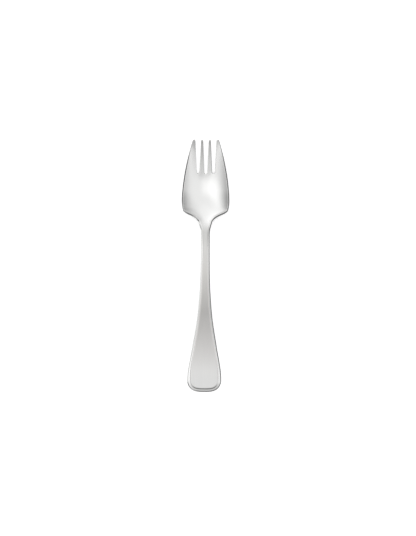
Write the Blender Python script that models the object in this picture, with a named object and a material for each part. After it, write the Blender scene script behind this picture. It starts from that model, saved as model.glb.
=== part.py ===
"""Buffet fork: a wide dished head with three slots, raked shoulders and an arched handle.

The whole fork is one pressing of stainless steel, so it is one solid. It lies front up on the plane
z = 0: the tines point to +Y, the handle ends at -Y, and both sides of x = 0 are alike. Stations run
along the fork, from the tips of the tines to the end of the handle. The solid is lofted: a plan grid
is laid out inside the outline, lifted on to the curved middle surface, thickened along that surface's
normals and closed with a rounded edge. A low step on the front sets the handle's panel off from its
border.
"""

import math

import bmesh
import bpy
from mathutils import Vector

MM = 0.001

# Plan of the head
LENGTH = 180.0 * MM  # tips of the tines to the end of the handle
HEAD_LENGTH = 53.0 * MM  # tips to the shoulders
HEAD_WIDTH = 34.0 * MM  # at the widest place
WIDEST_TO_SHOULDER = 9.0 * MM
SIDE_TUCK = 1.65 * MM  # each side draws in this far from the widest place to the shoulder
SIDE_POWER = 1.75  # fullness of the side's curve from the tips to the widest place
SHOULDER_WIDTH = 26.6 * MM  # at the head's length
SHOULDER_RAKE = 2.35  # half-width lost for each length along the shoulder
SHOULDER_CORNER = 3.2 * MM  # rounding of the shoulder's outer corner
SHOULDER_FILLET = 5.8 * MM  # rounding where the shoulder runs into the neck

# Tines and slots
INNER_TIP_WIDTH = 1.7 * MM
OUTER_TIP_WIDTH = 1.85 * MM
SLOT_MOUTH = 3.8 * MM
SLOT_ROOT = 2.15 * MM  # width where the round root begins
SLOT_LENGTH = 24.3 * MM  # of the middle slot
OUTER_SLOT_SHORTER = 0.6 * MM

# Plan of the handle
NECK_ROOT_WIDTH = 12.0 * MM  # at the shoulders
NECK_WIDTH = 6.4 * MM  # at the narrowest place
NECK_RUN = 14.0 * MM  # shoulders to the narrowest place
WAIST_WIDTH = 10.6 * MM
WAIST_FROM_END = 55.0 * MM
WAIST_FLARE = 0.105  # half-width gained for each length along the handle
FLARE_WIDTH = 17.7 * MM
FLARE_FROM_END = 32.0 * MM
FLARE_SLOPE = 0.162
HANDLE_WIDTH = 24.4 * MM
END_ROUND = 8.5 * MM  # length of the rounded end
END_SQUARENESS = 3.2  # 2 is an ellipse, more has a flatter end and tighter corners

# Side view, as heights of the middle surface
TIP_HEIGHT = 8.0 * MM
TIP_SLOPE = -0.50
SIDE_RIM_HEIGHT = 7.0 * MM
SHOULDER_RIM_HEIGHT = 8.8 * MM
RIM_BLEND = 3.0 * MM  # how softly the rim runs out into the tips and the neck
BOWL_BOTTOM_AT = 36.0 * MM
DISH_CORNER = 7.5 * MM  # rounding of the dish's corners inside the shoulders
DISH_POWER = 2.5  # 2 is a round dish, more is flatter with steeper sides
ARCH_HEIGHT = 14.2 * MM
ARCH_BEHIND_SHOULDER = 27.0 * MM
DESCENT_SLOPE = -0.29  # halfway from the arch down to the rest
REST_LENGTH = 14.0 * MM  # flat stretch under the handle's end

# Thickness and edges
TIP_THICKNESS = 1.25 * MM
BOWL_THICKNESS = 1.6 * MM
NECK_THICKNESS = 3.6 * MM
HANDLE_THICKNESS = 3.0 * MM
THICKENING_RUN = 16.0 * MM  # shoulders to where the neck has its full thickness
HEAD_EDGE = 0.35 * MM  # reach of the edge along the head's outline
HEAD_EDGE_SQUARENESS = 6.0  # 1 is a ridge, 2 an ellipse, more is squarer
SLOT_EDGE = 0.5 * MM
SLOT_EDGE_SQUARENESS = 2.0
TIP_ROUND_LIMIT = 0.8  # most of a tine's tip that its two rounded edges take up
TIP_TURN = 0.9  # share of an outer tip over which the outline's edge turns into the slot's
HANDLE_EDGE = 0.7 * MM
HANDLE_EDGE_SQUARENESS = 1.15
EDGE_CHANGE_RUN = 12.0 * MM  # shoulders to where the edge is the handle's

# Border and step round the handle's panel
PANEL_RISE = 25.0 * MM  # shoulders to where the panel stands its full height
SIDE_BORDER = 2.1 * MM
END_BORDER = 2.8 * MM
BORDER_WIDENING = 16.0 * MM  # length over which the border widens towards the rounded end
STEP_SHARE = 0.55  # of the border inside the edge
SIDE_STEP = 0.35 * MM  # fall of the front from the panel to the border
END_STEP = 0.6 * MM
LEDGE_DROP = 0.12 * MM  # fall of the border from the step to the rounded edge

# Fineness of the grid
ARC_STEP = math.radians(30)  # round a slot's root
INNER_TINE_COLUMNS = 3
OUTER_TINE_COLUMNS = 5
TINE_ROWS = 11
BOWL_ROWS = 13
SIDE_ROWS = 6
SHOULDER_ROWS = 10
NECK_ROWS = 5
HANDLE_ROWS = 18
END_ROWS = 5
EDGE_STEPS = 4
CORNER_TURN = math.radians(57)  # the rows end on the handle's side before it, the columns on its end
CORNER_STEP = math.radians(2)
ROOT_FADE = 6.0 * MM  # the rows straighten out this far behind the slots
SLOPE_STEP = 0.02 * MM  # over which a slope is measured
SEAM = 0.001 * MM  # points of the two halves this near each other are one

# Finish
STEEL_COLOR = (0.66, 0.65, 0.63, 1.0)
STEEL_ROUGHNESS = 0.25

# Places that follow from the sizes above
SLOT_PITCH = INNER_TIP_WIDTH + SLOT_MOUTH
TIP_HALF_SPREAD = SLOT_PITCH + SLOT_MOUTH / 2 + OUTER_TIP_WIDTH
TIP_MIDDLE = TIP_HALF_SPREAD - OUTER_TIP_WIDTH / 2
SLOT_REACH = min(SLOT_EDGE, TIP_ROUND_LIMIT * INNER_TIP_WIDTH / 2)
ROOT_AT = SLOT_LENGTH - SLOT_ROOT / 2
WIDEST_AT = HEAD_LENGTH - WIDEST_TO_SHOULDER
NECK_AT = HEAD_LENGTH + NECK_RUN
PANEL_AT = HEAD_LENGTH + PANEL_RISE
EDGE_CHANGED_AT = HEAD_LENGTH + EDGE_CHANGE_RUN
ARCH_AT = HEAD_LENGTH + ARCH_BEHIND_SHOULDER
REST_AT = LENGTH - REST_LENGTH
REST_HEIGHT = HANDLE_THICKNESS / 2
WAIST_AT = LENGTH - WAIST_FROM_END
FLARE_AT = LENGTH - FLARE_FROM_END
END_AT = LENGTH - END_ROUND
WIDENING_AT = END_AT - BORDER_WIDENING

# What changes along the fork, as (station, value, slope)
STEM = (
    (HEAD_LENGTH, NECK_ROOT_WIDTH / 2, 0.0),
    (NECK_AT, NECK_WIDTH / 2, 0.0),
    (WAIST_AT, WAIST_WIDTH / 2, WAIST_FLARE),
    (FLARE_AT, FLARE_WIDTH / 2, FLARE_SLOPE),
    (END_AT, HANDLE_WIDTH / 2, 0.0),
)
SPINE = (
    (0.0, TIP_HEIGHT, TIP_SLOPE),
    (BOWL_BOTTOM_AT, BOWL_THICKNESS / 2, 0.0),
    (ARCH_AT, ARCH_HEIGHT, 0.0),
    ((ARCH_AT + REST_AT) / 2, (ARCH_HEIGHT + REST_HEIGHT) / 2, DESCENT_SLOPE),
    (REST_AT, REST_HEIGHT, 0.0),
)
RIM = ((BOWL_BOTTOM_AT, SIDE_RIM_HEIGHT, 0.0), (HEAD_LENGTH, SHOULDER_RIM_HEIGHT, 0.0))
THICKNESS = (
    (0.0, TIP_THICKNESS, 0.0),
    (SLOT_LENGTH, BOWL_THICKNESS, 0.0),
    (HEAD_LENGTH, BOWL_THICKNESS, 0.0),
    (HEAD_LENGTH + THICKENING_RUN, NECK_THICKNESS, 0.0),
    (ARCH_AT, NECK_THICKNESS, 0.0),
    (FLARE_AT, HANDLE_THICKNESS, 0.0),
)
EDGE_REACH = ((HEAD_LENGTH, HEAD_EDGE, 0.0), (EDGE_CHANGED_AT, HANDLE_EDGE, 0.0))
EDGE_SQUARENESS = ((HEAD_LENGTH, HEAD_EDGE_SQUARENESS, 0.0), (EDGE_CHANGED_AT, HANDLE_EDGE_SQUARENESS, 0.0))
BORDER = (
    (0.0, OUTER_TIP_WIDTH / 2, 0.0),
    (SLOT_LENGTH, SIDE_BORDER, 0.0),
    (WIDENING_AT, SIDE_BORDER, 0.0),
    (END_AT, END_BORDER, 0.0),
)
STEP_DROP = ((WIDENING_AT, SIDE_STEP, 0.0), (END_AT, END_STEP, 0.0))
PANEL_SHARE = ((HEAD_LENGTH, 0.0, 0.0), (PANEL_AT, 1.0, 0.0))  # the panel rises out of the neck

# Share of the slot's edge in an outer tine's tip, by the distance from the middle line
SLOT_SIDE = (
    (TIP_MIDDLE - OUTER_TIP_WIDTH * TIP_TURN / 2, 1.0, 0.0),
    (TIP_MIDDLE + OUTER_TIP_WIDTH * TIP_TURN / 2, 0.0, 0.0),
)


def along(knots, station):
    """Smooth value through (station, value, slope) knots, level beyond the first and the last."""
    if station <= knots[0][0]:
        return knots[0][1]
    for (start, low, low_slope), (stop, high, high_slope) in zip(knots, knots[1:]):
        if station <= stop:
            run = stop - start
            t = (station - start) / run
            bend = run * t * (1 - t) * (low_slope * (1 - t) - high_slope * t)
            return low + (high - low) * t * t * (3 - 2 * t) + bend
    return knots[-1][1]


def soft_max(a, b, rounding):
    """The larger of two values, rounded off where they differ by less than the rounding."""
    return max(a, b) + max(rounding - abs(a - b), 0.0) ** 2 / (4 * rounding)


def soft_min(a, b, rounding):
    return -soft_max(-a, -b, rounding)


def half_width(station, corner=SHOULDER_CORNER):
    """Half the fork's width in plan, as far as the handle's rounded end."""
    stem = along(STEM, station)
    if station >= NECK_AT:
        return stem
    if station < WIDEST_AT:
        share = 1 - max(station, 0.0) / WIDEST_AT
        side = HEAD_WIDTH / 2 - (HEAD_WIDTH / 2 - TIP_HALF_SPREAD) * share**SIDE_POWER
    else:
        share = min((station - WIDEST_AT) / WIDEST_TO_SHOULDER, 1.0)
        side = HEAD_WIDTH / 2 - SIDE_TUCK * share**2
    shoulder = SHOULDER_WIDTH / 2 - SHOULDER_RAKE * (station - HEAD_LENGTH)
    return soft_min(side, soft_max(shoulder, stem, SHOULDER_FILLET), corner)


def side_edge(station):
    """Point of the outline beside a station, and its outward direction."""
    gain = half_width(station + SLOPE_STEP) - half_width(station - SLOPE_STEP)
    outward = Vector((2 * SLOPE_STEP, -gain)).normalized()
    return Vector((half_width(station), station)), outward


def end_edge(turn):
    """Point of the handle's rounded end, and its outward direction, by the turn from its middle."""
    half = half_width(END_AT)
    across = math.sin(turn) ** (2 / END_SQUARENESS)
    point = Vector((half * across, END_AT + END_ROUND * math.cos(turn)))
    steepness = END_SQUARENESS / 2 * across ** (END_SQUARENESS - 1)
    return point, Vector((steepness / half, math.cos(turn) / END_ROUND)).normalized()


def end_turn(share):
    """Turn of the end's point at a share of the way across, from the middle to the corner."""
    return math.asin(share ** (END_SQUARENESS / 2) * math.sin(CORNER_TURN))


def surface(x, station):
    """Point of the middle surface over a place in plan."""
    spine = along(SPINE, station)
    rim = soft_max(along(RIM, station) - spine, 0.0, RIM_BLEND) * (1 - along(PANEL_SHARE, station))
    across = abs(x) / half_width(station, DISH_CORNER)
    return Vector((x, LENGTH / 2 - station, spine + rim * across**DISH_POWER))


def surface_normal(x, station):
    across = surface(x + SLOPE_STEP, station) - surface(x - SLOPE_STEP, station)
    ahead = surface(x, station - SLOPE_STEP) - surface(x, station + SLOPE_STEP)
    return across.cross(ahead).normalized()


def overhang(station, lean):
    """How far the rounded edge stands out from the rim in plan, where the surface leans."""
    squareness = along(EDGE_SQUARENESS, station)
    power = squareness / (squareness - 1)
    across = along(EDGE_REACH, station) * math.cos(lean)
    down = along(THICKNESS, station) / 2 * abs(math.sin(lean))
    return (across**power + down**power) ** (1 / power)


def border_lines(station, lean):
    """The panel's edge, the foot of its step and the rim, as (inset, drop of the front face)."""
    border, rim = along(BORDER, station), overhang(station, lean)
    step = (border - rim) * STEP_SHARE
    raised = along(PANEL_SHARE, station)
    foot_drop = raised * along(STEP_DROP, station)
    return (border, 0.0), (border - step, foot_drop), (rim, foot_drop + raised * LEDGE_DROP)


def inset(edge, line):
    """Plan point (x, station, drop of the front face) where a border line passes an edge point."""
    (point, outward), (distance, drop) = edge, line
    return (point - outward * distance).to_3d() + Vector((0.0, 0.0, drop))


def side_border(station):
    """Plan points of the border lines beside a station, from the panel's edge to the rim."""
    edge = point, outward = side_edge(station)
    rise = surface(*point).z - surface(*point - outward * SLOPE_STEP).z
    return [inset(edge, line) for line in border_lines(station, math.atan2(rise, SLOPE_STEP))]


def root_columns():
    """Grid columns from the middle to the panel's edge, as (x, place behind the slots' roots).

    Also gives the first and last column of each tine.
    """
    reach = SLOT_ROOT / 2 + SLOT_REACH
    quarter = round(math.pi / 2 / ARC_STEP)
    turns = [i * ARC_STEP for i in range(-quarter, quarter)]
    arc = [(reach * math.sin(turn), reach * math.cos(turn)) for turn in turns]
    columns = arc[quarter:]
    inner_tine = len(columns)
    for i in range(INNER_TINE_COLUMNS):
        share = i / INNER_TINE_COLUMNS
        columns.append((reach + (SLOT_PITCH - 2 * reach) * share, -OUTER_SLOT_SHORTER * share))
    outer_slot = len(columns)
    columns += [(SLOT_PITCH + x, behind - OUTER_SLOT_SHORTER) for x, behind in arc]
    outer_tine = len(columns)
    start = SLOT_PITCH + reach
    run = side_border(ROOT_AT)[0].x - start
    for i in range(OUTER_TINE_COLUMNS + 1):
        share = i / OUTER_TINE_COLUMNS
        columns.append((start + run * share, -OUTER_SLOT_SHORTER * (1 - share)))
    return columns, ((inner_tine, outer_slot), (outer_tine, len(columns) - 1))


def row_stations():
    """Stations of the rows from the slots' roots to the handle's end, closest where the outline turns."""
    corner_at = HEAD_LENGTH - SHOULDER_CORNER / 2
    fillet_end = HEAD_LENGTH + SHOULDER_FILLET
    spans = (
        (ROOT_AT, WIDEST_AT, BOWL_ROWS),
        (WIDEST_AT, corner_at, SIDE_ROWS),
        (corner_at, fillet_end, SHOULDER_ROWS),
        (fillet_end, NECK_AT, NECK_ROWS),
        (NECK_AT, END_AT, HANDLE_ROWS),
    )
    stations = [a + (b - a) * i / count for a, b, count in spans for i in range(count)]
    return [*stations, END_AT]


def side_rows(columns):
    """Rows of plan points from the slots' roots to the handle's end, from the middle line to the rim."""
    rows = []
    for station in row_stations():
        panel_edge, *outer = side_border(station)
        fade = max(0.0, 1 - (station - ROOT_AT) / ROOT_FADE) ** 2
        row = []
        for x, behind in columns:
            share = x / columns[-1][0]
            lean = (panel_edge.y - station) * share**2
            row.append(Vector((panel_edge.x * share, station + lean + behind * fade, 0.0)))
        rows.append(row + outer)
    return rows


def end_rows(columns):
    """Rows of plan points across the handle's rounded end, which bow more and more towards its curve."""
    shares = [x / columns[-1][0] for x, _ in columns]
    lines = border_lines(LENGTH, 0.0)
    curve = [inset(end_edge(end_turn(share)), lines[0]).y for share in shares]
    rows = []
    for i in range(1, END_ROWS):
        turn = math.pi / 2 + (CORNER_TURN - math.pi / 2) * i / END_ROWS
        panel_edge, *outer = [inset(end_edge(turn), line) for line in lines]
        middle = END_AT + (curve[0] - END_AT) * i / END_ROWS
        row = []
        for share, station in zip(shares, curve):
            bow = (station - curve[-1]) / (curve[0] - curve[-1]) * (middle - panel_edge.y)
            row.append(Vector((panel_edge.x * share, panel_edge.y + bow, 0.0)))
        rows.append(row + outer)
    for i, line in enumerate(lines):
        row = [inset(end_edge(end_turn(share)), line) for share in shares[:-1]]
        for j in range(len(lines)):
            row.append(inset(end_edge(CORNER_TURN + CORNER_STEP * (j - i)), lines[max(i, j)]))
        rows.append(row)
    return rows


def tine_rows(root_row, first, last, outermost):
    """Rows of plan points of one tine, from its square tip to the row that it shares with the bowl."""
    tip = overhang(0.0, math.atan(TIP_SLOPE))
    start, run = root_row[first].x, root_row[last].x - root_row[first].x
    shares = [(point.x - start) / run for point in root_row[first : last + 1]]
    rows = []
    for i in range(TINE_ROWS):
        station = tip + (ROOT_AT - tip) * i / TINE_ROWS
        slot_width = SLOT_MOUTH + (SLOT_ROOT - SLOT_MOUTH) * station / ROOT_AT
        slot_side = slot_width / 2 + SLOT_REACH
        if outermost:
            low = Vector((SLOT_PITCH + slot_side, station, 0.0))
            high, *rim = side_border(station)
            for point in (high, *rim):
                point.y = station + (point.y - station) * i / TINE_ROWS
        else:
            low = Vector((slot_side, station, 0.0))
            high, rim = Vector((SLOT_PITCH - slot_side, station, 0.0)), []
        rows.append([low.lerp(high, share) for share in shares] + rim)
    return rows


def add_quads(plan, grid):
    for upper, lower in zip(grid, grid[1:]):
        for i in range(len(upper) - 1):
            plan.faces.new((upper[i], lower[i], lower[i + 1], upper[i + 1]))


def plan_grid():
    """Half of the fork's plan inside its rim, as quads of (x, station, drop of the front face)."""
    plan = bmesh.new()
    columns, tines = root_columns()
    rows = side_rows(columns) + end_rows(columns)
    web = [[plan.verts.new(point) for point in row] for row in rows]
    add_quads(plan, web)
    for first, last in tines:
        outermost = last == len(columns) - 1
        points = tine_rows(rows[0], first, last, outermost)
        tine = [[plan.verts.new(point) for point in row] for row in points]
        root = web[0][first:] if outermost else web[0][first : last + 1]
        add_quads(plan, [*tine, root])
    return plan


def is_rim(edge):
    """An outer edge of the plan that isn't on the middle line."""
    return edge.is_boundary and any(vert.co.x > 0.0 for vert in edge.verts)


def outward_in_plan(vert):
    """Direction out of the plan grid at a vertex on its rim."""
    total = Vector((0.0, 0.0))
    for loop in vert.link_loops:
        for side in (loop, loop.link_loop_prev):
            if is_rim(side.edge):
                run = (side.link_loop_next.vert.co - side.vert.co).xy.normalized()
                total += Vector((-run.y, run.x))
    if vert.co.x == 0.0:
        total.x = 0.0
    return total.normalized()


def edge_shape(x, station):
    """Reach and squareness of the edge, which is softer in the slots than along the outline."""
    reach, squareness = along(EDGE_REACH, station), along(EDGE_SQUARENESS, station)
    share = along(SLOT_SIDE, abs(x)) if station < SLOT_LENGTH + SLOT_ROOT else 0.0
    return reach + (SLOT_REACH - reach) * share, squareness + (SLOT_EDGE_SQUARENESS - squareness) * share


def edge_round(vert):
    """Points round the fork's edge at a vertex of the rim, from the front to the back."""
    x, station, drop = vert.co
    middle, normal = surface(x, station), surface_normal(x, station)
    out = outward_in_plan(vert) * SLOPE_STEP
    tangent = (surface(x + out.x, station + out.y) - middle).normalized()
    half = along(THICKNESS, station) / 2
    reach, squareness = edge_shape(x, station)
    power = 2 / squareness
    points = []
    for i in range(EDGE_STEPS + 1):
        turn = math.pi / 2 - math.pi * i / EDGE_STEPS
        swell = math.copysign(abs(math.sin(turn)) ** power, turn)
        height = (half - drop / 2) * swell - drop / 2
        points.append(middle + normal * height + tangent * reach * abs(math.cos(turn)) ** power)
    return points


def front_and_back(vert):
    """Points of the front and back faces at a vertex inside the rim."""
    x, station, drop = vert.co
    middle, normal = surface(x, station), surface_normal(x, station)
    half = along(THICKNESS, station) / 2
    return middle + normal * (half - drop), middle - normal * half


def half_fork(plan):
    """One half of the fork's skin, open on the middle plane."""
    skin = bmesh.new()
    stacks = {}
    for vert in plan.verts:
        on_rim = any(is_rim(edge) for edge in vert.link_edges)
        points = edge_round(vert) if on_rim else front_and_back(vert)
        stacks[vert] = [skin.verts.new(point) for point in points]
    for face in plan.faces:
        skin.faces.new([stacks[vert][0] for vert in face.verts])
        skin.faces.new([stacks[vert][-1] for vert in reversed(face.verts)])
        for loop in face.loops:
            if is_rim(loop.edge):
                near, far = stacks[loop.vert], stacks[loop.link_loop_next.vert]
                for i in range(EDGE_STEPS):
                    skin.faces.new((near[i + 1], far[i + 1], far[i], near[i]))
    return skin


def stainless_steel():
    material = bpy.data.materials.new("stainless_steel")
    material.use_nodes = True
    shader = material.node_tree.nodes["Principled BSDF"]
    shader.inputs["Base Color"].default_value = STEEL_COLOR
    shader.inputs["Metallic"].default_value = 1.0
    shader.inputs["Roughness"].default_value = STEEL_ROUGHNESS
    return material


def make_fork():
    plan = plan_grid()
    skin = half_fork(plan)
    mesh = bpy.data.meshes.new("fork")
    skin.to_mesh(mesh)
    skin.free()
    plan.free()
    mesh.materials.append(stainless_steel())
    mesh.shade_smooth()
    fork = bpy.data.objects.new("fork", mesh)
    bpy.context.scene.collection.objects.link(fork)
    mirror = fork.modifiers.new("both_sides", "MIRROR")
    mirror.merge_threshold = SEAM


def main():
    for obj in list(bpy.data.objects):
        bpy.data.objects.remove(obj)
    make_fork()


main()
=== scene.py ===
"""Looks of the buffet fork: a finely lofted steel fork, polished at the head and satin along the handle.

The fork's surface has the solid model's sizes on a much finer grid, with a rounded step round the
handle's panel and a border that starts narrower at the head. It lies on a pale floor under soft
studio light, seen from straight above.
"""

import math

import bmesh
import bpy
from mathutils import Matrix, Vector


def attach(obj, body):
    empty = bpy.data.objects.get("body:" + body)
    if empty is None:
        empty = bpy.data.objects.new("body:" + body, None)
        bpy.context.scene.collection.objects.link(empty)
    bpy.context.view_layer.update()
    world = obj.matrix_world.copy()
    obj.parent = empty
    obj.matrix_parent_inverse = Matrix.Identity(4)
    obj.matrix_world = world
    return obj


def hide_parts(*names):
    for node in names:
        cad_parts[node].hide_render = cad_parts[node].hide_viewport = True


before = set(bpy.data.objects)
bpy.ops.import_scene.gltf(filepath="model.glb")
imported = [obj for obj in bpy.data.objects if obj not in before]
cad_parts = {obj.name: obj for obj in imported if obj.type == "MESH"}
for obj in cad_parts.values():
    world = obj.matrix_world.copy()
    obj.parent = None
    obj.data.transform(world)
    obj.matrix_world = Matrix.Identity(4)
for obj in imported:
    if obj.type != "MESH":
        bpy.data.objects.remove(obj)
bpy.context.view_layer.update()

MM = 0.001

# Plan of the head
LENGTH = 180.0 * MM  # tips of the tines to the end of the handle
HEAD_LENGTH = 53.0 * MM  # tips to the shoulders
HEAD_WIDTH = 34.0 * MM  # at the widest place
WIDEST_TO_SHOULDER = 9.0 * MM
SIDE_TUCK = 1.65 * MM  # each side draws in this far from the widest place to the shoulder
SIDE_POWER = 1.75  # fullness of the side's curve from the tips to the widest place
SHOULDER_WIDTH = 26.6 * MM  # at the head's length
SHOULDER_RAKE = 2.35  # half-width lost for each length along the shoulder
SHOULDER_CORNER = 3.2 * MM  # rounding of the shoulder's outer corner
SHOULDER_FILLET = 5.8 * MM  # rounding where the shoulder runs into the neck

# Tines and slots
INNER_TIP_WIDTH = 1.7 * MM
OUTER_TIP_WIDTH = 1.85 * MM
SLOT_MOUTH = 3.8 * MM
SLOT_ROOT = 2.15 * MM  # width where the round root begins
SLOT_LENGTH = 24.3 * MM  # of the middle slot
OUTER_SLOT_SHORTER = 0.6 * MM

# Plan of the handle
NECK_ROOT_WIDTH = 12.0 * MM  # at the shoulders
NECK_WIDTH = 6.4 * MM  # at the narrowest place
NECK_RUN = 14.0 * MM  # shoulders to the narrowest place
WAIST_WIDTH = 10.6 * MM
WAIST_FROM_END = 55.0 * MM
WAIST_FLARE = 0.105  # half-width gained for each length along the handle
FLARE_WIDTH = 17.7 * MM
FLARE_FROM_END = 32.0 * MM
FLARE_SLOPE = 0.162
HANDLE_WIDTH = 24.4 * MM
END_ROUND = 8.5 * MM  # length of the rounded end
END_SQUARENESS = 3.2  # 2 is an ellipse, more has a flatter end and tighter corners

# Side view, as heights of the middle surface
TIP_HEIGHT = 8.0 * MM
TIP_SLOPE = -0.50
SIDE_RIM_HEIGHT = 7.0 * MM
SHOULDER_RIM_HEIGHT = 8.8 * MM
RIM_BLEND = 3.0 * MM  # how softly the rim runs out into the tips and the neck
BOWL_BOTTOM_AT = 36.0 * MM
DISH_CORNER = 7.5 * MM  # rounding of the dish's corners inside the shoulders
DISH_POWER = 2.5  # 2 is a round dish, more is flatter with steeper sides
ARCH_HEIGHT = 14.2 * MM
ARCH_BEHIND_SHOULDER = 27.0 * MM
DESCENT_SLOPE = -0.29  # halfway from the arch down to the rest
REST_LENGTH = 14.0 * MM  # flat stretch under the handle's end

# Thickness and edges
TIP_THICKNESS = 1.25 * MM
BOWL_THICKNESS = 1.6 * MM
NECK_THICKNESS = 3.6 * MM
HANDLE_THICKNESS = 3.0 * MM
THICKENING_RUN = 16.0 * MM  # shoulders to where the neck has its full thickness
HEAD_EDGE = 0.35 * MM  # reach of the edge along the head's outline
HEAD_EDGE_SQUARENESS = 6.0  # 1 is a ridge, 2 an ellipse, more is squarer
SLOT_EDGE = 0.5 * MM
SLOT_EDGE_SQUARENESS = 2.0
TIP_ROUND_LIMIT = 0.8  # most of a tine's tip that its two rounded edges take up
TIP_TURN = 0.9  # share of an outer tip over which the outline's edge turns into the slot's
HANDLE_EDGE = 0.7 * MM
HANDLE_EDGE_SQUARENESS = 1.15
EDGE_CHANGE_RUN = 12.0 * MM  # shoulders to where the edge is the handle's

# Border and step round the handle's panel
PANEL_RISE = 25.0 * MM  # shoulders to where the panel stands its full height
HEAD_BORDER = 1.1 * MM  # along the head's grid, as far as the shoulders, where the step begins
SIDE_BORDER = 2.1 * MM
END_BORDER = 2.8 * MM
BORDER_WIDENING = 16.0 * MM  # length over which the border widens towards the rounded end
STEP_SHARE = 0.55  # of the border inside the edge
SIDE_STEP = 0.35 * MM  # fall of the front from the panel to the border
END_STEP = 0.6 * MM
LEDGE_DROP = 0.12 * MM  # fall of the border from the step to the rounded edge

# Fineness of the grid
ARC_STEP = math.radians(10)  # round a slot's root
INNER_TINE_COLUMNS = 5
OUTER_TINE_COLUMNS = 12
TINE_ROWS = 36
BOWL_ROWS = 44
SIDE_ROWS = 18
SHOULDER_ROWS = 36
NECK_ROWS = 18
HANDLE_ROWS = 96
END_ROWS = 16
EDGE_STEPS = 16
STEP_LINES = 5
LEDGE_LINES = 2
CORNER_TURN = math.radians(57)  # the rows end on the handle's side before it, the columns on its end
CORNER_STEP = math.radians(0.25)
ROOT_FADE = 6.0 * MM  # the rows straighten out this far behind the slots
SLOPE_STEP = 0.02 * MM  # over which a slope is measured
SEAM = 0.001 * MM  # points of the two halves this near each other are one

# Finish along the fork, with shade painted along the handle
SATIN_FROM = HEAD_LENGTH + 4.0 * MM
SATIN_RUN = 10.0 * MM
POLISHED = (0.70, 0.70, 0.695, 1.0)
SATIN_COLOUR_AND_PAINTED_SHADE = (  # (station, colour); the steel's colour, darkened towards the neck as painted shade standing in for how the handle's light falls
    (70.0 * MM, (0.52, 0.52, 0.51, 1.0)),
    (95.0 * MM, (0.63, 0.62, 0.60, 1.0)),
    (150.0 * MM, (0.64, 0.63, 0.62, 1.0)),
    (172.0 * MM, (0.62, 0.62, 0.615, 1.0)),
)
POLISHED_ROUGHNESS, SATIN_ROUGHNESS = 0.14, 0.36
ROUGHNESS_CHANGE = 0.03  # up and down, in soft clouds
STREAK_CHANGE = 0.03  # of the satin's shade, up and down
POLISHED_RELIEF, SATIN_RELIEF = 0.02, 0.12  # how strongly the brushing shows
BRUSHING_DEPTH = 0.02 * MM
BRUSHING_WAVES = (9000.0, 120.0, 9000.0)  # to a metre, across, along and up
STREAK_WAVES = (700.0, 14.0, 700.0)
CLOUD_WAVES = (130.0, 130.0, 130.0)
FINE_DETAIL, SOFT_DETAIL = 3.0, 2.0

# Floor
FLOOR_HALF = 2.0
FLOOR_BELOW = 0.1 * MM
FLOOR_COLOR = (0.9, 0.9, 0.9, 1.0)
FLOOR_GLOW = 0.5
WHITE = (1.0, 1.0, 1.0, 1.0)

# Studio light, by the slope of the surface that mirrors it straight up: (sideways, lengthways)
DOME = 1.17
FLAGS = (  # (azimuth in degrees, where the shade begins, its run, its depth)
    (60.0, 0.30, 0.40, 0.30),
    (270.0, 0.15, 0.45, 0.80),
)
SPOTS = (  # (middle, half sizes, softness, change of the dome's strength)
    ((0.30, -0.30), (0.30, 0.20), 0.4, -0.15),
    ((0.05, -0.20), (0.25, 0.15), 0.2, -0.25),
    ((-0.20, 1.00), (0.60, 0.45), 0.7, 0.6),
    ((1.50, 0.50), (0.80, 0.70), 0.6, -0.9),
    ((-1.50, 0.40), (0.90, 0.70), 0.6, -0.9),
)
STRIPS = (  # (middle, half sizes, softness, strength), shining from low down
    ((-2.60, 0.00), (1.20, 0.60), 0.1, 1.0),
    ((-0.75, -1.15), (0.45, 0.60), 0.4, 0.45),
)
KEY = 0.35  # strength of the softbox, whose sides follow as (place, run inwards to full strength)
KEY_LEFT, KEY_LEFT_RUN = -0.75, 0.50
KEY_RIGHT, KEY_RIGHT_RUN = 0.20, 0.30
KEY_NEAR, KEY_NEAR_RUN = -0.10, 0.10
KEY_FAR, KEY_FAR_RUN = 0.30, 0.40
KEY_SLANT = 1.0  # the far side comes nearer by this for each step to the right
GROUND = 0.25
GROUND_FROM, GROUND_TO = 0.15, -0.40  # heights of the light's direction, from the dome to the ground
LOWEST = 0.001  # keeps the slope finite for light from straight below
BACKDROP = 1.0  # strength that the camera sees past the floor

# Places that follow from the sizes above
SLOT_PITCH = INNER_TIP_WIDTH + SLOT_MOUTH
TIP_HALF_SPREAD = SLOT_PITCH + SLOT_MOUTH / 2 + OUTER_TIP_WIDTH
TIP_MIDDLE = TIP_HALF_SPREAD - OUTER_TIP_WIDTH / 2
SLOT_REACH = min(SLOT_EDGE, TIP_ROUND_LIMIT * INNER_TIP_WIDTH / 2)
ROOT_AT = SLOT_LENGTH - SLOT_ROOT / 2
WIDEST_AT = HEAD_LENGTH - WIDEST_TO_SHOULDER
NECK_AT = HEAD_LENGTH + NECK_RUN
PANEL_AT = HEAD_LENGTH + PANEL_RISE
EDGE_CHANGED_AT = HEAD_LENGTH + EDGE_CHANGE_RUN
ARCH_AT = HEAD_LENGTH + ARCH_BEHIND_SHOULDER
REST_AT = LENGTH - REST_LENGTH
REST_HEIGHT = HANDLE_THICKNESS / 2
WAIST_AT = LENGTH - WAIST_FROM_END
FLARE_AT = LENGTH - FLARE_FROM_END
END_AT = LENGTH - END_ROUND
WIDENING_AT = END_AT - BORDER_WIDENING

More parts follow.
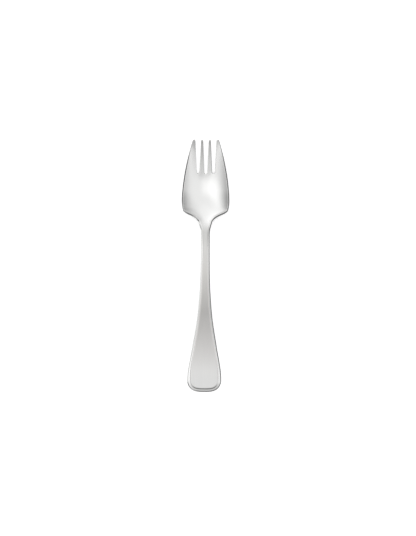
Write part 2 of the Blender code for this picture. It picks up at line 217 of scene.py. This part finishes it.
# What changes along the fork, as (station, value, slope)
STEM = (
    (HEAD_LENGTH, NECK_ROOT_WIDTH / 2, 0.0),
    (NECK_AT, NECK_WIDTH / 2, 0.0),
    (WAIST_AT, WAIST_WIDTH / 2, WAIST_FLARE),
    (FLARE_AT, FLARE_WIDTH / 2, FLARE_SLOPE),
    (END_AT, HANDLE_WIDTH / 2, 0.0),
)
SPINE = (
    (0.0, TIP_HEIGHT, TIP_SLOPE),
    (BOWL_BOTTOM_AT, BOWL_THICKNESS / 2, 0.0),
    (ARCH_AT, ARCH_HEIGHT, 0.0),
    ((ARCH_AT + REST_AT) / 2, (ARCH_HEIGHT + REST_HEIGHT) / 2, DESCENT_SLOPE),
    (REST_AT, REST_HEIGHT, 0.0),
)
RIM = ((BOWL_BOTTOM_AT, SIDE_RIM_HEIGHT, 0.0), (HEAD_LENGTH, SHOULDER_RIM_HEIGHT, 0.0))
THICKNESS = (
    (0.0, TIP_THICKNESS, 0.0),
    (SLOT_LENGTH, BOWL_THICKNESS, 0.0),
    (HEAD_LENGTH, BOWL_THICKNESS, 0.0),
    (HEAD_LENGTH + THICKENING_RUN, NECK_THICKNESS, 0.0),
    (ARCH_AT, NECK_THICKNESS, 0.0),
    (FLARE_AT, HANDLE_THICKNESS, 0.0),
)
EDGE_REACH = ((HEAD_LENGTH, HEAD_EDGE, 0.0), (EDGE_CHANGED_AT, HANDLE_EDGE, 0.0))
EDGE_SQUARENESS = (
    (HEAD_LENGTH, HEAD_EDGE_SQUARENESS, 0.0),
    (EDGE_CHANGED_AT, HANDLE_EDGE_SQUARENESS, 0.0),
)
BORDER = (
    (0.0, OUTER_TIP_WIDTH / 2, 0.0),
    (SLOT_LENGTH, HEAD_BORDER, 0.0),
    (HEAD_LENGTH, HEAD_BORDER, 0.0),
    (PANEL_AT, SIDE_BORDER, 0.0),
    (WIDENING_AT, SIDE_BORDER, 0.0),
    (END_AT, END_BORDER, 0.0),
)
STEP_DROP = ((WIDENING_AT, SIDE_STEP, 0.0), (END_AT, END_STEP, 0.0))
PANEL_SHARE = ((HEAD_LENGTH, 0.0, 0.0), (PANEL_AT, 1.0, 0.0))  # the panel rises out of the neck
SLOT_SIDE = (  # across an outer tip
    (TIP_MIDDLE - OUTER_TIP_WIDTH * TIP_TURN / 2, 1.0, 0.0),
    (TIP_MIDDLE + OUTER_TIP_WIDTH * TIP_TURN / 2, 0.0, 0.0),
)
SATIN_SHARE = ((SATIN_FROM, 0.0, 0.0), (SATIN_FROM + SATIN_RUN, 1.0, 0.0))
SATIN_EDGE = ((0.0, 1.0, 0.0), (END_STEP, 0.0, 0.0))  # by the front's drop below the panel

# Photograph's frame
IMAGE_WIDTH, IMAGE_HEIGHT = 416, 536
TIPS_PIXEL = (206.0, 140.1)
END_PIXEL = (204.05, 391.85)
LENS = 200.0
SENSOR = 36.0


def along(knots, station):
    """Smooth value through (station, value, slope) knots, level beyond the first and the last."""
    if station <= knots[0][0]:
        return knots[0][1]
    for (start, low, low_slope), (stop, high, high_slope) in zip(knots, knots[1:]):
        if station <= stop:
            run = stop - start
            t = (station - start) / run
            bend = run * t * (1 - t) * (low_slope * (1 - t) - high_slope * t)
            return low + (high - low) * t * t * (3 - 2 * t) + bend
    return knots[-1][1]


def soft_max(a, b, rounding):
    """The larger of two values, rounded off where they differ by less than the rounding."""
    return max(a, b) + max(rounding - abs(a - b), 0.0) ** 2 / (4 * rounding)


def soft_min(a, b, rounding):
    return -soft_max(-a, -b, rounding)


def half_width(station, corner=SHOULDER_CORNER):
    """Half the fork's width in plan, as far as the handle's rounded end."""
    stem = along(STEM, station)
    if station >= NECK_AT:
        return stem
    if station < WIDEST_AT:
        share = 1 - max(station, 0.0) / WIDEST_AT
        side = HEAD_WIDTH / 2 - (HEAD_WIDTH / 2 - TIP_HALF_SPREAD) * share**SIDE_POWER
    else:
        share = min((station - WIDEST_AT) / WIDEST_TO_SHOULDER, 1.0)
        side = HEAD_WIDTH / 2 - SIDE_TUCK * share**2
    shoulder = SHOULDER_WIDTH / 2 - SHOULDER_RAKE * (station - HEAD_LENGTH)
    return soft_min(side, soft_max(shoulder, stem, SHOULDER_FILLET), corner)


def side_edge(station):
    """Point of the outline beside a station, and its outward direction."""
    gain = half_width(station + SLOPE_STEP) - half_width(station - SLOPE_STEP)
    outward = Vector((2 * SLOPE_STEP, -gain)).normalized()
    return Vector((half_width(station), station)), outward


def end_edge(turn):
    """Point of the handle's rounded end, and its outward direction, by the turn from its middle."""
    half = half_width(END_AT)
    across = math.sin(turn) ** (2 / END_SQUARENESS)
    point = Vector((half * across, END_AT + END_ROUND * math.cos(turn)))
    steepness = END_SQUARENESS / 2 * across ** (END_SQUARENESS - 1)
    return point, Vector((steepness / half, math.cos(turn) / END_ROUND)).normalized()


def end_turn(share):
    """Turn of the end's point at a share of the way across, from the middle to the corner."""
    return math.asin(share ** (END_SQUARENESS / 2) * math.sin(CORNER_TURN))


def surface(x, station):
    """Point of the middle surface over a place in plan."""
    spine = along(SPINE, station)
    rim = soft_max(along(RIM, station) - spine, 0.0, RIM_BLEND) * (1 - along(PANEL_SHARE, station))
    across = abs(x) / half_width(station, DISH_CORNER)
    return Vector((x, LENGTH / 2 - station, spine + rim * across**DISH_POWER))


def surface_normal(x, station):
    across = surface(x + SLOPE_STEP, station) - surface(x - SLOPE_STEP, station)
    ahead = surface(x, station - SLOPE_STEP) - surface(x, station + SLOPE_STEP)
    return across.cross(ahead).normalized()


def overhang(station, lean):
    """How far the rounded edge stands out from the rim in plan, where the surface leans."""
    squareness = along(EDGE_SQUARENESS, station)
    power = squareness / (squareness - 1)
    across = along(EDGE_REACH, station) * math.cos(lean)
    down = along(THICKNESS, station) / 2 * abs(math.sin(lean))
    return (across**power + down**power) ** (1 / power)


def border_lines(station, lean):
    """Lines from the panel's edge down its step and over the ledge to the rim, as (inset, drop)."""
    border, rim = along(BORDER, station), overhang(station, lean)
    step = (border - rim) * STEP_SHARE
    ledge = border - step - rim
    raised, drop = along(PANEL_SHARE, station), along(STEP_DROP, station)
    lines = []
    for i in range(STEP_LINES + 1):
        share = i / STEP_LINES
        lines.append((border - step * share, raised * drop * share * share * (3 - 2 * share)))
    for i in range(1, LEDGE_LINES + 1):
        share = i / LEDGE_LINES
        lines.append((border - step - ledge * share, raised * (drop + LEDGE_DROP * share)))
    return lines


def inset(edge, line):
    """Plan point (x, station, drop of the front face) where a border line passes an edge point."""
    (point, outward), (distance, drop) = edge, line
    return (point - outward * distance).to_3d() + Vector((0.0, 0.0, drop))


def side_border(station):
    """Plan points of the border lines beside a station, from the panel's edge to the rim."""
    edge = point, outward = side_edge(station)
    rise = surface(*point).z - surface(*point - outward * SLOPE_STEP).z
    return [inset(edge, line) for line in border_lines(station, math.atan2(rise, SLOPE_STEP))]


def root_columns():
    """Grid columns from the middle to the panel's edge, as (x, place behind the slots' roots).

    Also gives the first and last column of each tine.
    """
    reach = SLOT_ROOT / 2 + SLOT_REACH
    quarter = round(math.pi / 2 / ARC_STEP)
    turns = [i * ARC_STEP for i in range(-quarter, quarter)]
    arc = [(reach * math.sin(turn), reach * math.cos(turn)) for turn in turns]
    columns = arc[quarter:]
    inner_tine = len(columns)
    for i in range(INNER_TINE_COLUMNS):
        share = i / INNER_TINE_COLUMNS
        columns.append((reach + (SLOT_PITCH - 2 * reach) * share, -OUTER_SLOT_SHORTER * share))
    outer_slot = len(columns)
    columns += [(SLOT_PITCH + x, behind - OUTER_SLOT_SHORTER) for x, behind in arc]
    outer_tine = len(columns)
    start = SLOT_PITCH + reach
    run = side_border(ROOT_AT)[0].x - start
    for i in range(OUTER_TINE_COLUMNS + 1):
        share = i / OUTER_TINE_COLUMNS
        columns.append((start + run * share, -OUTER_SLOT_SHORTER * (1 - share)))
    return columns, ((inner_tine, outer_slot), (outer_tine, len(columns) - 1))


def row_stations():
    """Stations of the rows, from the slots' roots to the rounded end and closest at the shoulders."""
    corner_at = HEAD_LENGTH - SHOULDER_CORNER / 2
    fillet_end = HEAD_LENGTH + SHOULDER_FILLET
    spans = (
        (ROOT_AT, WIDEST_AT, BOWL_ROWS),
        (WIDEST_AT, corner_at, SIDE_ROWS),
        (corner_at, fillet_end, SHOULDER_ROWS),
        (fillet_end, NECK_AT, NECK_ROWS),
        (NECK_AT, END_AT, HANDLE_ROWS),
    )
    stations = [a + (b - a) * i / count for a, b, count in spans for i in range(count)]
    return [*stations, END_AT]


def side_rows(columns):
    """Rows of plan points from the slots' roots to the rounded end, each from the middle to the rim."""
    rows = []
    for station in row_stations():
        panel_edge, *outer = side_border(station)
        nearness = max(0.0, 1 - (station - ROOT_AT) / ROOT_FADE) ** 2
        row = []
        for x, behind in columns:
            share = x / columns[-1][0]
            lean = (panel_edge.y - station) * share**2
            row.append(Vector((panel_edge.x * share, station + lean + behind * nearness, 0.0)))
        rows.append(row + outer)
    return rows


def end_rows(columns):
    """Rows of plan points across the handle's rounded end, which bow more and more towards its curve."""
    shares = [x / columns[-1][0] for x, _ in columns]
    lines = border_lines(LENGTH, 0.0)
    curve = [inset(end_edge(end_turn(share)), lines[0]).y for share in shares]
    rows = []
    for i in range(1, END_ROWS):
        turn = math.pi / 2 + (CORNER_TURN - math.pi / 2) * i / END_ROWS
        panel_edge, *outer = [inset(end_edge(turn), line) for line in lines]
        middle = END_AT + (curve[0] - END_AT) * i / END_ROWS
        row = []
        for share, station in zip(shares, curve):
            bow = (station - curve[-1]) / (curve[0] - curve[-1]) * (middle - panel_edge.y)
            row.append(Vector((panel_edge.x * share, panel_edge.y + bow, 0.0)))
        rows.append(row + outer)
    for i, line in enumerate(lines):
        row = [inset(end_edge(end_turn(share)), line) for share in shares[:-1]]
        for j in range(len(lines)):
            row.append(inset(end_edge(CORNER_TURN + CORNER_STEP * (j - i)), lines[max(i, j)]))
        rows.append(row)
    return rows


def tine_rows(root_row, first, last, outermost):
    """Rows of plan points of one tine, from its square tip to the row that it shares with the bowl."""
    tip = overhang(0.0, math.atan(TIP_SLOPE))
    start, run = root_row[first].x, root_row[last].x - root_row[first].x
    shares = [(point.x - start) / run for point in root_row[first : last + 1]]
    rows = []
    for i in range(TINE_ROWS):
        station = tip + (ROOT_AT - tip) * i / TINE_ROWS
        slot_width = SLOT_MOUTH + (SLOT_ROOT - SLOT_MOUTH) * station / ROOT_AT
        slot_side = slot_width / 2 + SLOT_REACH
        if outermost:
            low = Vector((SLOT_PITCH + slot_side, station, 0.0))
            high, *rim = side_border(station)
            for point in (high, *rim):
                point.y = station + (point.y - station) * i / TINE_ROWS
        else:
            low = Vector((slot_side, station, 0.0))
            high, rim = Vector((SLOT_PITCH - slot_side, station, 0.0)), []
        rows.append([low.lerp(high, share) for share in shares] + rim)
    return rows


def add_quads(plan, grid):
    for upper, lower in zip(grid, grid[1:]):
        for i in range(len(upper) - 1):
            plan.faces.new((upper[i], lower[i], lower[i + 1], upper[i + 1]))


def plan_grid():
    """Half of the fork's plan inside its rim, as quads of (x, station, drop of the front face)."""
    plan = bmesh.new()
    columns, tines = root_columns()
    rows = side_rows(columns) + end_rows(columns)
    web = [[plan.verts.new(point) for point in row] for row in rows]
    add_quads(plan, web)
    for first, last in tines:
        outermost = last == len(columns) - 1
        points = tine_rows(rows[0], first, last, outermost)
        tine = [[plan.verts.new(point) for point in row] for row in points]
        root = web[0][first:] if outermost else web[0][first : last + 1]
        add_quads(plan, [*tine, root])
    return plan


def is_rim(edge):
    """An outer edge of the plan that isn't on the middle line."""
    return edge.is_boundary and any(vert.co.x > 0.0 for vert in edge.verts)


def outward_in_plan(vert):
    """Direction out of the plan grid at a vertex on its rim."""
    total = Vector((0.0, 0.0))
    for loop in vert.link_loops:
        for side in (loop, loop.link_loop_prev):
            if is_rim(side.edge):
                run = (side.link_loop_next.vert.co - side.vert.co).xy.normalized()
                total += Vector((-run.y, run.x))
    if vert.co.x == 0.0:
        total.x = 0.0
    return total.normalized()


def edge_shape(x, station):
    """Reach and squareness of the edge, which is softer in the slots than along the outline."""
    reach, squareness = along(EDGE_REACH, station), along(EDGE_SQUARENESS, station)
    share = along(SLOT_SIDE, abs(x)) if station < SLOT_LENGTH + SLOT_ROOT else 0.0
    return reach + (SLOT_REACH - reach) * share, squareness + (SLOT_EDGE_SQUARENESS - squareness) * share


def edge_round(vert):
    """Points round the fork's edge at a vertex of the rim, from the front to the back."""
    x, station, drop = vert.co
    middle, normal = surface(x, station), surface_normal(x, station)
    out = outward_in_plan(vert) * SLOPE_STEP
    tangent = (surface(x + out.x, station + out.y) - middle).normalized()
    half = along(THICKNESS, station) / 2
    reach, squareness = edge_shape(x, station)
    power = 2 / squareness
    points = []
    for i in range(EDGE_STEPS + 1):
        turn = math.pi / 2 - math.pi * i / EDGE_STEPS
        swell = math.copysign(abs(math.sin(turn)) ** power, turn)
        height = (half - drop / 2) * swell - drop / 2
        points.append(middle + normal * height + tangent * reach * abs(math.cos(turn)) ** power)
    return points


def front_and_back(vert):
    """Points of the front and back faces at a vertex inside the rim."""
    x, station, drop = vert.co
    middle, normal = surface(x, station), surface_normal(x, station)
    half = along(THICKNESS, station) / 2
    return middle + normal * (half - drop), middle - normal * half


def half_fork(plan):
    """One half of the fork's skin, open on the middle plane, with its satin share at each point."""
    skin = bmesh.new()
    satin = skin.verts.layers.float.new("satin")
    stacks = {}
    for vert in plan.verts:
        on_rim = any(is_rim(edge) for edge in vert.link_edges)
        points = edge_round(vert) if on_rim else front_and_back(vert)
        stacks[vert] = [skin.verts.new(point) for point in points]
        along_handle = along(SATIN_SHARE, vert.co.y)
        stacks[vert][0][satin] = along_handle * along(SATIN_EDGE, vert.co.z)
        stacks[vert][-1][satin] = 0.0 if on_rim else along_handle
    for face in plan.faces:
        skin.faces.new([stacks[vert][0] for vert in face.verts])
        skin.faces.new([stacks[vert][-1] for vert in reversed(face.verts)])
        for loop in face.loops:
            if is_rim(loop.edge):
                near, far = stacks[loop.vert], stacks[loop.link_loop_next.vert]
                for i in range(EDGE_STEPS):
                    skin.faces.new((near[i + 1], far[i + 1], far[i], near[i]))
    return skin


def node(tree, kind, inputs=(), **settings):
    """New shader node with its settings, and its inputs linked or set by name or place."""
    made = tree.nodes.new(kind)
    for key, value in settings.items():
        setattr(made, key, value)
    for key, value in dict(inputs).items():
        if isinstance(value, bpy.types.NodeSocket):
            tree.links.new(value, made.inputs[key])
        else:
            made.inputs[key].default_value = value
    return made


def calculate(tree, operation, first, second):
    return node(tree, "ShaderNodeMath", {0: first, 1: second}, operation=operation).outputs["Value"]


def between(tree, value, low, high):
    """Even change from low to high as a value passes from 0 to 1."""
    inputs = {"Value": value, "To Min": low, "To Max": high}
    return node(tree, "ShaderNodeMapRange", inputs).outputs["Result"]


def fade(tree, value, start, stop, low, high):
    """Smooth change from low to high as a value passes from start to stop."""
    inputs = {"Value": value, "From Min": start, "From Max": stop, "To Min": low, "To Max": high}
    return node(tree, "ShaderNodeMapRange", inputs, interpolation_type="SMOOTHSTEP").outputs["Result"]


def noise(tree, place, waves, detail):
    """Noise from 0 to 1 with a number of waves to a metre along each axis."""
    stretched = node(tree, "ShaderNodeMapping", {"Vector": place, "Scale": waves})
    inputs = {"Vector": stretched.outputs["Vector"], "Scale": 1.0, "Detail": detail}
    return node(tree, "ShaderNodeTexNoise", inputs).outputs["Fac"]


def satin_color_and_painted_shade(tree, place):
    """Colour of the satin, darkened towards the neck as painted shade of the handle's light, with faint
    lengthwise streaks.
    """
    lengthways = node(tree, "ShaderNodeSeparateXYZ", {"Vector": place}).outputs["Y"]
    limits = {"From Min": LENGTH / 2, "From Max": -LENGTH / 2}
    share = node(tree, "ShaderNodeMapRange", {"Value": lengthways, **limits}).outputs["Result"]
    # painted shade: this ramp darkens the satin towards the neck, standing in for the handle's light
    painted_shade_ramp = node(tree, "ShaderNodeValToRGB", {"Fac": share})
    stops = painted_shade_ramp.color_ramp.elements
    for i, (station, shade) in enumerate(SATIN_COLOUR_AND_PAINTED_SHADE):
        stop = stops[i] if i < len(stops) else stops.new(1.0)
        stop.position, stop.color = station / LENGTH, shade
    streaks = noise(tree, place, STREAK_WAVES, SOFT_DETAIL)
    strength = between(tree, streaks, 1 - STREAK_CHANGE, 1 + STREAK_CHANGE)
    inputs = {0: painted_shade_ramp.outputs["Color"], 1: strength}
    return node(tree, "ShaderNodeVectorMath", inputs, operation="MULTIPLY").outputs["Vector"]


def steel():
    """Stainless steel, mirror polished with hair scratches, or satin with fine lengthwise brushing and
    painted shade along the handle.
    """
    material = bpy.data.materials.new("stainless_steel")
    material.use_nodes = True
    tree = material.node_tree
    shader = tree.nodes["Principled BSDF"]
    satin = node(tree, "ShaderNodeAttribute", attribute_name="satin").outputs["Fac"]
    place = node(tree, "ShaderNodeTexCoord").outputs["Object"]
    colors = {"Factor": satin, "A": POLISHED, "B": satin_color_and_painted_shade(tree, place)}
    color = node(tree, "ShaderNodeMix", colors, data_type="RGBA")
    tree.links.new(color.outputs["Result"], shader.inputs["Base Color"])
    shader.inputs["Metallic"].default_value = 1.0
    finish = between(tree, satin, POLISHED_ROUGHNESS, SATIN_ROUGHNESS)
    clouds = noise(tree, place, CLOUD_WAVES, SOFT_DETAIL)
    uneven = between(tree, clouds, -ROUGHNESS_CHANGE, ROUGHNESS_CHANGE)
    tree.links.new(calculate(tree, "ADD", finish, uneven), shader.inputs["Roughness"])
    brushing = {
        "Height": noise(tree, place, BRUSHING_WAVES, FINE_DETAIL),
        "Strength": between(tree, satin, POLISHED_RELIEF, SATIN_RELIEF),
        "Distance": BRUSHING_DEPTH,
    }
    tree.links.new(node(tree, "ShaderNodeBump", brushing).outputs["Normal"], shader.inputs["Normal"])
    return material


def make_fork():
    """The fork's skin, made as one half and mirrored, in place of the solid model's fork."""
    plan = plan_grid()
    skin = half_fork(plan)
    mesh = bpy.data.meshes.new("fork_skin")
    skin.to_mesh(mesh)
    skin.free()
    plan.free()
    mesh.materials.append(steel())
    mesh.shade_smooth()
    fork = bpy.data.objects.new("fork_skin", mesh)
    bpy.context.scene.collection.objects.link(fork)
    mirror = fork.modifiers.new("both_sides", "MIRROR")
    mirror.merge_threshold = SEAM
    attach(fork, "root")
    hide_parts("fork")


def make_floor():
    """Pale table, lit a little from within as a light table is."""
    mesh = bpy.data.meshes.new("floor")
    signs = ((-1, -1), (1, -1), (1, 1), (-1, 1))
    mesh.from_pydata([(x * FLOOR_HALF, y * FLOOR_HALF, 0.0) for x, y in signs], [], [range(len(signs))])
    material = bpy.data.materials.new("floor")
    material.use_nodes = True
    shader = material.node_tree.nodes["Principled BSDF"]
    shader.inputs["Base Color"].default_value = FLOOR_COLOR
    shader.inputs["Roughness"].default_value = 1.0
    shader.inputs["Specular IOR Level"].default_value = 0.0
    shader.inputs["Emission Color"].default_value = WHITE
    shader.inputs["Emission Strength"].default_value = FLOOR_GLOW
    mesh.materials.append(material)
    floor = bpy.data.objects.new("floor", mesh)
    floor.location.z = -FLOOR_BELOW
    floor.visible_glossy = False
    bpy.context.scene.collection.objects.link(floor)


def spot(tree, place, middle, half_sizes, softness):
    """1 inside an oval and 0 outside it, with a soft edge."""
    squares = 0.0
    for value, centre, half in zip(place, middle, half_sizes):
        away = calculate(tree, "DIVIDE", calculate(tree, "SUBTRACT", value, centre), half)
        squares = calculate(tree, "ADD", squares, calculate(tree, "MULTIPLY", away, away))
    distance = calculate(tree, "POWER", squares, 0.5)
    return fade(tree, distance, 1 - softness, 1 + softness, 1.0, 0.0)


def dome_light(tree, slope):
    """Strength of the dome, shaded by the flags and changed in the spots."""
    sideways, lengthways = slope
    total = DOME
    for azimuth, start, run, depth in FLAGS:
        turn = math.radians(azimuth)
        across = calculate(tree, "MULTIPLY", sideways, math.cos(turn))
        ahead = calculate(tree, "MULTIPLY", lengthways, math.sin(turn))
        towards = calculate(tree, "ADD", across, ahead)
        shade = fade(tree, towards, start, start + run, 1.0, 1.0 - depth)
        total = calculate(tree, "MULTIPLY", total, shade)
    for middle, half_sizes, softness, strength in SPOTS:
        inside = spot(tree, slope, middle, half_sizes, softness)
        change = calculate(tree, "ADD", calculate(tree, "MULTIPLY", inside, strength), 1.0)
        total = calculate(tree, "MULTIPLY", total, change)
    return total


def key_light(tree, slope):
    """Strength of the softbox, which fades out at its four sides."""
    sideways, lengthways = slope
    slanted = calculate(tree, "ADD", lengthways, calculate(tree, "MULTIPLY", sideways, KEY_SLANT))
    sides = (
        (sideways, KEY_LEFT, KEY_LEFT + KEY_LEFT_RUN),
        (sideways, KEY_RIGHT, KEY_RIGHT - KEY_RIGHT_RUN),
        (lengthways, KEY_NEAR, KEY_NEAR + KEY_NEAR_RUN),
        (slanted, KEY_FAR, KEY_FAR - KEY_FAR_RUN),
    )
    total = KEY
    for value, start, stop in sides:
        total = calculate(tree, "MULTIPLY", total, fade(tree, value, start, stop, 0.0, 1.0))
    return total


def make_light():
    """Soft studio light all round: a bright dome with a softbox, darker flags and a dark ground."""
    world = bpy.data.worlds.new("studio")
    world.use_nodes = True
    bpy.context.scene.world = world
    tree = world.node_tree
    direction = node(tree, "ShaderNodeTexCoord").outputs["Generated"]
    parts = node(tree, "ShaderNodeSeparateXYZ", {"Vector": direction})
    height = parts.outputs["Z"]
    beyond = calculate(tree, "MAXIMUM", calculate(tree, "ADD", height, 1.0), LOWEST)
    sideways = calculate(tree, "DIVIDE", parts.outputs["X"], beyond)
    lengthways = calculate(tree, "DIVIDE", parts.outputs["Y"], beyond)
    slope = (sideways, lengthways)
    above = fade(tree, height, GROUND_TO, GROUND_FROM, 0.0, 1.0)
    strengths = {"Factor": above, "A": GROUND, "B": dome_light(tree, slope)}
    total = node(tree, "ShaderNodeMix", strengths, data_type="FLOAT").outputs["Result"]
    total = calculate(tree, "ADD", total, key_light(tree, slope))
    for middle, half_sizes, softness, strength in STRIPS:
        inside = spot(tree, slope, middle, half_sizes, softness)
        total = calculate(tree, "ADD", total, calculate(tree, "MULTIPLY", inside, strength))
    seen = node(tree, "ShaderNodeLightPath").outputs["Is Camera Ray"]
    shown = node(tree, "ShaderNodeMix", {"Factor": seen, "A": total, "B": BACKDROP}, data_type="FLOAT")
    background = tree.nodes["Background"]
    tree.links.new(shown.outputs["Result"], background.inputs["Strength"])
    background.inputs["Color"].default_value = WHITE


def make_camera():
    """Camera straight above the fork, turned and placed so that its ends meet their pixels."""
    tips, end = Vector(TIPS_PIXEL), Vector(END_PIXEL)
    pixel = LENGTH / (end - tips).length
    turn = math.atan2(tips.x - end.x, end.y - tips.y)
    right = Vector((math.cos(turn), math.sin(turn)))
    up = Vector((-math.sin(turn), math.cos(turn)))
    middle = (Vector((IMAGE_WIDTH, IMAGE_HEIGHT)) / 2 - tips) * pixel
    place = Vector((0.0, LENGTH / 2)) + right * middle.x - up * middle.y
    data = bpy.data.cameras.new("camera")
    data.lens = LENS
    data.sensor_width = SENSOR
    camera = bpy.data.objects.new("camera", data)
    camera.location = (*place, pixel * IMAGE_HEIGHT * LENS / SENSOR)
    camera.rotation_euler.z = turn
    bpy.context.scene.collection.objects.link(camera)
    bpy.context.scene.camera = camera


bpy.context.scene.view_settings.view_transform = "Standard"
make_fork()
make_floor()
make_light()
make_camera()
